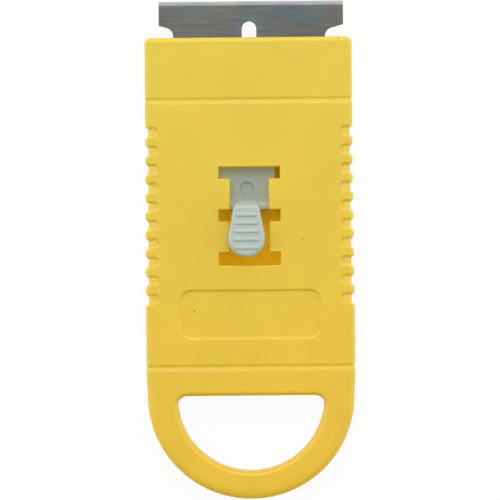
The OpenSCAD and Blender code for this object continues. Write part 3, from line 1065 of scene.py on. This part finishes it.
@dataclass(frozen=True)
class PlasticFinish:
    """Moulded plastic, whose tone changes along one axis; on the grey, along Z, the change is painted
    shade, darker low down.
    """

    name: str
    end_tone: Triple
    start_tone: Triple
    speck_tone: Triple = (0.35, 0.26, 0.06)
    sheen: float = 0.25
    cloud: float = 0.02
    bump: float = 0.12
    bump_height: float = 0.00004
    bending: float = 1.49
    scatter: float = 0.0
    scatter_radius: Triple = (1.0, 0.5, 0.1)
    scatter_scale: float = 0.0014
    along: Along = Along.Y
    start: float = -0.045
    end: float = 0.04
    wall: Wall = Wall.OPAQUE
    glow_tone: Triple = (1.0, 0.88, 0.05)
    pass_share: float = 0.8

    def make(self, grain: bpy.types.NodeTree) -> Material:
        """Makes the material.

        Args:
            grain: shared effect of moulded plastics.

        Returns:
            The material.
        """
        material, draw = new_material(self.name)
        effect = draw.add("Group", node_tree=grain).outputs
        # Tone ramps from start_tone to end_tone along the axis; on the grey this is painted shade, darker
        # low down in the window and lighter on the raised tab.
        place = draw.add("SeparateXYZ", {0: draw.own_space()}).outputs[self.along.value]
        tone = draw.mix(draw.ramp(place, self.start, self.end), (*self.start_tone, 1), (*self.end_tone, 1))
        darker = draw.ramp(effect["Cloud"], 0.0, 1.0, 1.0 - self.cloud, 1.0 + self.cloud)
        spotted = draw.mix(effect["Speck"], draw.scaled(tone, darker), (*self.speck_tone, 1))
        bump = draw.add("Bump", {
            "Height": effect["Height"], "Strength": self.bump, "Distance": self.bump_height,
        })
        surface = draw.add("BsdfPrincipled", {
            "Base Color": spotted, "Roughness": effect["Roughness"], "Normal": bump.outputs[0],
            "IOR": self.bending, "Specular IOR Level": self.sheen, "Subsurface Weight": self.scatter,
            "Subsurface Radius": self.scatter_radius, "Subsurface Scale": self.scatter_scale,
        }).outputs[0]
        if self.wall is not Wall.OPAQUE:
            glow = draw.add("BsdfTranslucent", {"Color": (*self.glow_tone, 1)}).outputs[0]
            within = draw.add("NewGeometry").outputs["Backfacing"]
            through = within if self.wall is Wall.OUTER else self.pass_share
            surface = draw.add("MixShader", {0: through, 1: surface, 2: glow}).outputs[0]
        draw.add("OutputMaterial", {"Surface": surface})
        return material


@dataclass(frozen=True)
class SteelFinish:
    """Rolled strip steel with a ground edge; each noise has a size and a detail."""

    name: str
    cool_tone: Triple
    warm_tone: Triple
    edge_tone: Triple
    edge_y: float
    bevel_l: float
    edge_blur: float = 0.00006
    edge_roughness: float = 0.12
    stretch: Triple = (0.06, 1.0, 1.0)
    streaks: Pair = (2400.0, 5.0)
    streak_tone: Quad = (0.3, 0.7, -0.09, 0.09)
    streak_roughness: Quad = (0.25, 0.75, 0.3, 0.4)
    patches: Pair = (130.0, 4.0)
    patch_tone: Quad = (0.3, 0.7, 0.9, 1.1)
    tints: Pair = (75.0, 2.0)
    tint_ramp: Pair = (0.38, 0.62)
    bump: float = 0.25
    bump_height: float = 0.00001

    def make(self) -> Material:
        """Makes the material."""
        material, draw = new_material(self.name)
        space = draw.own_space()
        along = draw.add("SeparateXYZ", {0: space}).outputs["Y"]
        stretched = draw.add("Mapping", {0: space, "Scale": self.stretch}).outputs[0]
        streak = draw.noise(stretched, *self.streaks)
        patch = draw.noise(space, *self.patches)
        tint = draw.noise(space, *self.tints)
        ground = self.edge_y - self.bevel_l
        edge = draw.ramp(along, ground - self.edge_blur, ground + self.edge_blur)
        mottle = draw.maths("ADD", draw.ramp(patch, *self.patch_tone), draw.ramp(streak, *self.streak_tone))
        strip = draw.mix(draw.ramp(tint, *self.tint_ramp), (*self.cool_tone, 1), (*self.warm_tone, 1))
        plain = draw.mix(edge, strip, (*self.edge_tone, 1))
        rough = draw.maths("ADD", draw.ramp(streak, *self.streak_roughness),
                           draw.ramp(edge, 0.0, 1.0, 0.0, self.edge_roughness))
        bump = draw.add("Bump", {"Height": streak, "Strength": self.bump, "Distance": self.bump_height})
        shader = draw.add("BsdfPrincipled", {
            "Base Color": draw.scaled(plain, mottle), "Metallic": 1.0, "Roughness": rough,
            "Normal": bump.outputs[0],
        })
        draw.add("OutputMaterial", {"Surface": shader.outputs[0]})
        return material


SATIN_YELLOW = PlasticFinish(
    "satin_yellow", end_tone=(0.772, 0.577, 0.013), start_tone=(0.835, 0.545, 0.002),
    speck_tone=(0.34, 0.19, 0.01), sheen=1.0, scatter=0.4, wall=Wall.OUTER,
)
# Painted light: the two inside skins are redder copies of the yellow with a quarter of its sheen, standing
# in for the orange light bounced round inside the plastic.
LIT_YELLOW = PlasticFinish(
    "lit_yellow", end_tone=(0.86, 0.55, 0.006), start_tone=(0.86, 0.55, 0.006),
    wall=Wall.INNER,
)
INNER_YELLOW = PlasticFinish(
    "inner_yellow", end_tone=(0.88, 0.56, 0.003), start_tone=(0.88, 0.56, 0.003),
)
# Painted shade: the grey is darker low down, on the tongue in the slot and on the carriage, and lighter
# higher up on the raised tab.
SATIN_GREY_PAINTED_SHADE = PlasticFinish(
    "satin_grey_painted_shade", end_tone=(0.448, 0.522, 0.476), start_tone=(0.323, 0.360, 0.313),
    speck_tone=(0.3, 0.32, 0.3), sheen=0.95, scatter=0.05, along=Along.Z, start=0.0053, end=0.0070,
)
STRIP_STEEL = SteelFinish(
    "strip_steel", cool_tone=(0.150, 0.185, 0.192), warm_tone=(0.172, 0.166, 0.150),
    edge_tone=(0.345, 0.362, 0.352), edge_y=Blade.edge_y * MM, bevel_l=Blade.bevel_l * MM,
)


@dataclass
class Studio:
    """White floor, soft light and the camera straight above, in metres."""

    camera_height: float = 0.700
    face_height: float = 0.008
    pixels_per_metre: float = 4750.0
    centre: Pair = (0.000035, -0.00016)
    roll_degrees: float = -0.53
    film_width: float = 36.0
    nearest: float = 0.01
    floor_half: float = 3.0
    floor_cells: int = 8
    floor_z: float = -0.0001
    floor_tone: Triple = (0.92, 0.92, 0.92)
    floor_white: float = 0.94
    sky_rise: Quad = (0.3, 0.95, 0.74, 1.20)
    sky_ahead: Quad = (-0.8, 0.8, 0.22, 0.97)
    sky_sides: Quad = (0.5, 0.95, 0.0, 1.1)
    lamp_watts: float = 1.3
    lamp_size: Pair = (0.6, 0.35)
    lamp_place: Triple = (-0.02, 0.42, 0.52)

    def camera(self) -> None:
        """Hangs the camera above the object, as in the photo."""
        data = bpy.data.cameras.new("camera")
        seen = PHOTO_PIXELS / self.pixels_per_metre
        data.sensor_width = self.film_width
        data.lens = data.sensor_width * (self.camera_height - self.face_height) / seen
        data.clip_start = self.nearest
        thing = put("camera", data)
        thing.location = (*self.centre, self.camera_height)
        thing.rotation_euler = (0, 0, math.radians(self.roll_degrees))
        bpy.context.scene.camera = thing

    def floor(self) -> None:
        """Lays the white floor under the object."""
        cells = self.floor_cells
        bm = bmesh.new()
        ops.create_grid(bm, x_segments=cells, y_segments=cells, size=self.floor_half)
        move(bm, (0, 0, self.floor_z))
        mesh = bpy.data.meshes.new("floor")
        bm.to_mesh(mesh)
        bm.free()
        material, draw = new_material("white_floor")
        paper = draw.add("BsdfDiffuse", {"Color": (*self.floor_tone, 1)}).outputs[0]
        white = draw.add("Emission").outputs[0]
        path = draw.add("LightPath").outputs
        direct = draw.maths("MAXIMUM", path["Is Camera Ray"], path["Is Glossy Ray"])
        seen = draw.maths("MAXIMUM", direct, path["Is Transmission Ray"])
        amount = draw.maths("MULTIPLY", seen, self.floor_white)
        mixed = draw.add("MixShader", {0: amount, 1: paper, 2: white}).outputs[0]
        draw.add("OutputMaterial", {"Surface": mixed})
        mesh.materials.append(material)
        thing = put("floor", mesh)

    def sky(self) -> None:
        """Sets the soft sky, lighter above, ahead and to the sides."""
        world = bpy.data.worlds.new("studio")
        bpy.context.scene.world = world
        world.use_nodes = True
        draw = NodeSketch(world.node_tree)
        way = draw.add("TexCoord").outputs["Generated"]
        part = draw.add("SeparateXYZ", {0: way}).outputs
        level = draw.ramp(part["Z"], *self.sky_rise)
        ahead = draw.ramp(part["Y"], *self.sky_ahead)
        beside = draw.ramp(draw.maths("ABSOLUTE", part["X"]), *self.sky_sides)
        total = draw.maths("ADD", draw.maths("MULTIPLY", level, ahead), beside)
        sky = draw.add("Background", {"Color": (1, 1, 1, 1), "Strength": total})
        draw.add("OutputWorld", {"Surface": sky.outputs[0]})

    def lamp(self) -> None:
        """Hangs the large lamp beyond the blade."""
        data = bpy.data.lights.new("soft_lamp", "AREA")
        data.shape = "RECTANGLE"
        data.size, data.size_y = self.lamp_size
        data.energy = self.lamp_watts
        thing = put("soft_lamp", data)
        thing.location = self.lamp_place
        thing.rotation_euler = (-thing.location).to_track_quat("-Z", "Y").to_euler()

    def build(self) -> None:
        """Sets up the studio."""
        bpy.context.scene.view_settings.view_transform = "Standard"
        self.camera()
        self.floor()
        self.sky()
        self.lamp()


def dress_carriage(finish: Material) -> None:
    """Gives the carriage, whose shape is right, its grey plastic, which is painted darker low down as
    shade.
    """
    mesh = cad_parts["carriage"].data
    mesh.materials.clear()
    mesh.materials.append(finish)
    LOG.info("carriage: dressed")


def main() -> None:
    """Builds every piece, dresses it and sets up the studio."""
    logging.basicConfig(level=logging.INFO, format="%(message)s")
    grain = MouldedGrain().make()
    yellow, lit, inner, grey = [
        finish.make(grain) for finish in (SATIN_YELLOW, LIT_YELLOW, INNER_YELLOW, SATIN_GREY_PAINTED_SHADE)
    ]
    sizes = BodySizes()
    FrontShell(sizes, yellow, lit).build()
    RearShell(sizes, yellow, inner).build()
    Latch(sizes, grey).build()
    Blade(STRIP_STEEL.make()).build()
    dress_carriage(grey)
    Studio().build()


if __name__ == "__main__":
    main()
